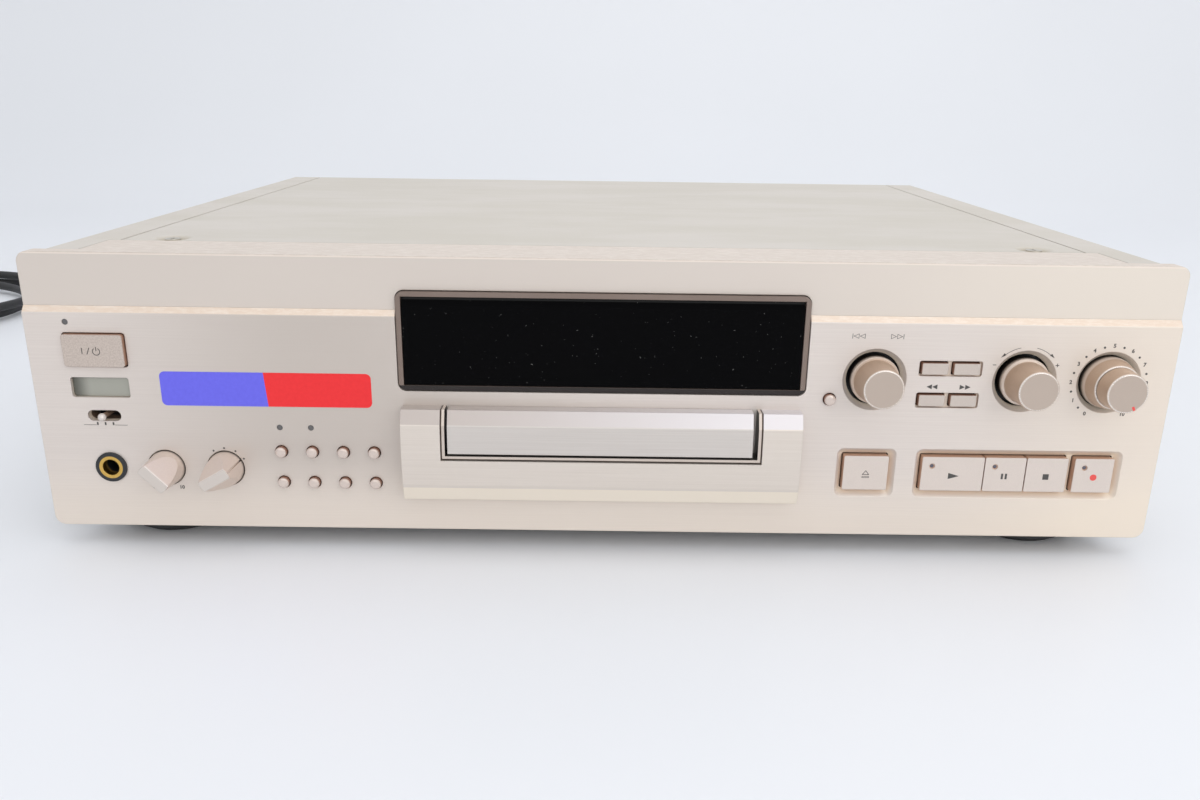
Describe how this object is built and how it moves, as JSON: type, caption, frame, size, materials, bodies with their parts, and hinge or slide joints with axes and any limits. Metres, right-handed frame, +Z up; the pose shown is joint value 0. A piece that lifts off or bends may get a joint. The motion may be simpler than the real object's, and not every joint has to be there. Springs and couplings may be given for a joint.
{
  "type": "minidisc deck",
  "caption": "Full-width hi-fi disc recorder deck with stepped champagne front, dark display window, raised block with sliding tray, knobs, keys and captive mains lead.",
  "frame": {"origin": "centre of the deck's footprint on the surface it stands on, cord left out", "axes": "+X to the right seen from the front, +Y from front to back, +Z up"},
  "size_m": [0.8995, 0.5265, 0.1163],
  "materials": {
    "steel_sheet": "zinc-plated sheet, dull",
    "painted_side": "champagne paint, fine texture, satin",
    "screw_steel": "nickel-plated",
    "foot_rubber": "black moulded",
    "brushed_panel": "champagne anodised, fine horizontal brushing",
    "black_plastic": "black moulded",
    "trim_silver": "silver-grey satin moulding",
    "dark_glass": "black acrylic, polished",
    "circuit_board": "green board",
    "control_metal": "plain metal",
    "lens_grey": "smoky translucent",
    "jack_brass": "gold-plated with a black ring",
    "transformer_steel": "laminated core in its shield",
    "tray_silver": "silver anodised, fine brushing",
    "gear_plastic": "natural acetal",
    "slider_metal": "plated pin",
    "knob_champagne": "champagne anodised, turned and blasted",
    "button_champagne": "champagne metallic coating",
    "cord_black": "matt black",
    "tie_black": "black strap"
  },
  "bodies": {
    "deck": {"chassis": "steel_sheet", "rear_panel": "steel_sheet", "side_panels": "painted_side", "top_plate": "painted_side", "top_screws": "screw_steel", "feet": "foot_rubber", "front_plate": "brushed_panel", "front_cap": "brushed_panel", "front_frame": "black_plastic", "escutcheon": "brushed_panel", "tray_trim": "trim_silver", "window_frame": "trim_silver", "display_window": "dark_glass", "front_board": "circuit_board", "controls": "control_metal", "lenses": "lens_grey", "phones_jack": "jack_brass", "transformer": "transformer_steel", "main_board": "circuit_board", "mech_frame": "black_plastic", "motors": "control_metal", "rear_jacks": "jack_brass", "strain_relief": "cord_black", "cord_lead": "cord_black", "cord_coil": "cord_black", "cord_tail": "cord_black", "cord_tie": "tie_black", "plug": "cord_black"},
    "tray_body": {"tray": "black_plastic", "tray_face": "tray_silver"},
    "load_gear": {"load_gear": "gear_plastic"},
    "motor_pinion": {"motor_pinion": "gear_plastic"},
    "spindle": {"spindle_hub": "control_metal"},
    "power": {"power_button": "button_champagne"},
    "timer": {"timer_slider": "slider_metal"},
    "phone_level": {"phone_knob": "knob_champagne"},
    "input_selector": {"input_knob": "knob_champagne"},
    "clear": {"clear_button": "button_champagne"},
    "jog_push": {"jog_sleeve": "control_metal"},
    "jog": {"jog_knob": "knob_champagne"},
    "digital_level": {"digital_knob": "knob_champagne"},
    "analog_outer": {"analog_ring": "knob_champagne"},
    "analog_inner": {"analog_knob": "knob_champagne"},
    "open_close": {"open_button": "button_champagne"},
    "play": {"play_button": "button_champagne"},
    "pause": {"pause_button": "button_champagne"},
    "stop": {"stop_button": "button_champagne"},
    "record": {"record_button": "button_champagne"},
    "small_1": {"button_1": "button_champagne"},
    "small_2": {"button_2": "button_champagne"},
    "small_3": {"button_3": "button_champagne"},
    "small_4": {"button_4": "button_champagne"},
    "small_5": {"button_5": "button_champagne"},
    "small_6": {"button_6": "button_champagne"},
    "small_7": {"button_7": "button_champagne"},
    "small_8": {"button_8": "button_champagne"},
    "bar_key_1": {"bar_1": "button_champagne"},
    "bar_key_2": {"bar_2": "button_champagne"},
    "bar_key_3": {"bar_3": "button_champagne"},
    "bar_key_4": {"bar_4": "button_champagne"}
  },
  "joints": [
    {"name": "power_press", "type": "slide", "parent": "deck", "child": "power", "axis": [0, 1, 0], "range_m": [0, 0.001], "stiffness_N_per_m": 600, "springref_m": -0.0006},
    {"name": "tray_slide", "type": "slide", "parent": "deck", "child": "tray_body", "axis": [0, -1, 0], "range_m": [0, 0.09]},
    {"name": "load_gear_spin", "type": "hinge", "parent": "deck", "child": "load_gear", "pos_m": [-0.06, -0.135, 0.0465], "axis": [0, 0, 1], "range_deg": [-520, 0]},
    {"name": "motor_pinion_spin", "type": "hinge", "parent": "deck", "child": "motor_pinion", "pos_m": [-0.06, -0.121, 0.0465], "axis": [0, 0, 1], "range_deg": [0, 1300]},
    {"name": "spindle_spin", "type": "hinge", "parent": "deck", "child": "spindle", "pos_m": [0, -0.109, 0.0425], "axis": [0, 0, 1], "continuous": true},
    {"name": "timer_slide", "type": "slide", "parent": "deck", "child": "timer", "axis": [1, 0, 0], "range_m": [-0.003, 0.003]},
    {"name": "phone_level_turn", "type": "hinge", "parent": "deck", "child": "phone_level", "pos_m": [-0.1685, -0.162, 0.0331], "axis": [0, 1, 0], "range_deg": [-106, 194]},
    {"name": "input_turn", "type": "hinge", "parent": "deck", "child": "input_selector", "pos_m": [-0.1455, -0.162, 0.0331], "axis": [0, 1, 0], "range_deg": [-90, 0]},
    {"name": "digital_level_turn", "type": "hinge", "parent": "deck", "child": "digital_level", "pos_m": [0.1591, -0.162, 0.0723], "axis": [0, 1, 0], "continuous": true},
    {"name": "analog_outer_turn", "type": "hinge", "parent": "deck", "child": "analog_outer", "pos_m": [0.1909, -0.16, 0.0723], "axis": [0, 1, 0], "range_deg": [-300, 0]},
    {"name": "analog_inner_turn", "type": "hinge", "parent": "deck", "child": "analog_inner", "pos_m": [0.1909, -0.167, 0.0723], "axis": [0, 1, 0], "range_deg": [-300, 0]},
    {"name": "jog_press", "type": "slide", "parent": "deck", "child": "jog_push", "axis": [0, 1, 0], "range_m": [0, 0.001], "stiffness_N_per_m": 600, "springref_m": -0.0006},
    {"name": "jog_turn", "type": "hinge", "parent": "jog_push", "child": "jog", "pos_m": [0.1026, -0.162, 0.0723], "axis": [0, 1, 0], "continuous": true},
    {"name": "clear_press", "type": "slide", "parent": "deck", "child": "clear", "axis": [0, 1, 0], "range_m": [0, 0.001], "stiffness_N_per_m": 600, "springref_m": -0.0006},
    {"name": "open_close_press", "type": "slide", "parent": "deck", "child": "open_close", "axis": [0, 1, 0], "range_m": [0, 0.001], "stiffness_N_per_m": 600, "springref_m": -0.0006},
    {"name": "play_press", "type": "slide", "parent": "deck", "child": "play", "axis": [0, 1, 0], "range_m": [0, 0.001], "stiffness_N_per_m": 600, "springref_m": -0.0006},
    {"name": "pause_press", "type": "slide", "parent": "deck", "child": "pause", "axis": [0, 1, 0], "range_m": [0, 0.001], "stiffness_N_per_m": 600, "springref_m": -0.0006},
    {"name": "stop_press", "type": "slide", "parent": "deck", "child": "stop", "axis": [0, 1, 0], "range_m": [0, 0.001], "stiffness_N_per_m": 600, "springref_m": -0.0006},
    {"name": "record_press", "type": "slide", "parent": "deck", "child": "record", "axis": [0, 1, 0], "range_m": [0, 0.001], "stiffness_N_per_m": 600, "springref_m": -0.0006},
    {"name": "small_1_press", "type": "slide", "parent": "deck", "child": "small_1", "axis": [0, 1, 0], "range_m": [0, 0.001], "stiffness_N_per_m": 600, "springref_m": -0.0006},
    {"name": "small_2_press", "type": "slide", "parent": "deck", "child": "small_2", "axis": [0, 1, 0], "range_m": [0, 0.001], "stiffness_N_per_m": 600, "springref_m": -0.0006},
    {"name": "small_3_press", "type": "slide", "parent": "deck", "child": "small_3", "axis": [0, 1, 0], "range_m": [0, 0.001], "stiffness_N_per_m": 600, "springref_m": -0.0006},
    {"name": "small_4_press", "type": "slide", "parent": "deck", "child": "small_4", "axis": [0, 1, 0], "range_m": [0, 0.001], "stiffness_N_per_m": 600, "springref_m": -0.0006},
    {"name": "small_5_press", "type": "slide", "parent": "deck", "child": "small_5", "axis": [0, 1, 0], "range_m": [0, 0.001], "stiffness_N_per_m": 600, "springref_m": -0.0006},
    {"name": "small_6_press", "type": "slide", "parent": "deck", "child": "small_6", "axis": [0, 1, 0], "range_m": [0, 0.001], "stiffness_N_per_m": 600, "springref_m": -0.0006},
    {"name": "small_7_press", "type": "slide", "parent": "deck", "child": "small_7", "axis": [0, 1, 0], "range_m": [0, 0.001], "stiffness_N_per_m": 600, "springref_m": -0.0006},
    {"name": "small_8_press", "type": "slide", "parent": "deck", "child": "small_8", "axis": [0, 1, 0], "range_m": [0, 0.001], "stiffness_N_per_m": 600, "springref_m": -0.0006},
    {"name": "bar_key_1_press", "type": "slide", "parent": "deck", "child": "bar_key_1", "axis": [0, 1, 0], "range_m": [0, 0.001], "stiffness_N_per_m": 600, "springref_m": -0.0006},
    {"name": "bar_key_2_press", "type": "slide", "parent": "deck", "child": "bar_key_2", "axis": [0, 1, 0], "range_m": [0, 0.001], "stiffness_N_per_m": 600, "springref_m": -0.0006},
    {"name": "bar_key_3_press", "type": "slide", "parent": "deck", "child": "bar_key_3", "axis": [0, 1, 0], "range_m": [0, 0.001], "stiffness_N_per_m": 600, "springref_m": -0.0006},
    {"name": "bar_key_4_press", "type": "slide", "parent": "deck", "child": "bar_key_4", "axis": [0, 1, 0], "range_m": [0, 0.001], "stiffness_N_per_m": 600, "springref_m": -0.0006}
  ],
  "couplings": [
    {"joint": "load_gear_spin", "follows": "tray_slide", "rad_per_m": -100},
    {"joint": "motor_pinion_spin", "follows": "tray_slide", "rad_per_m": 250}
  ]
}
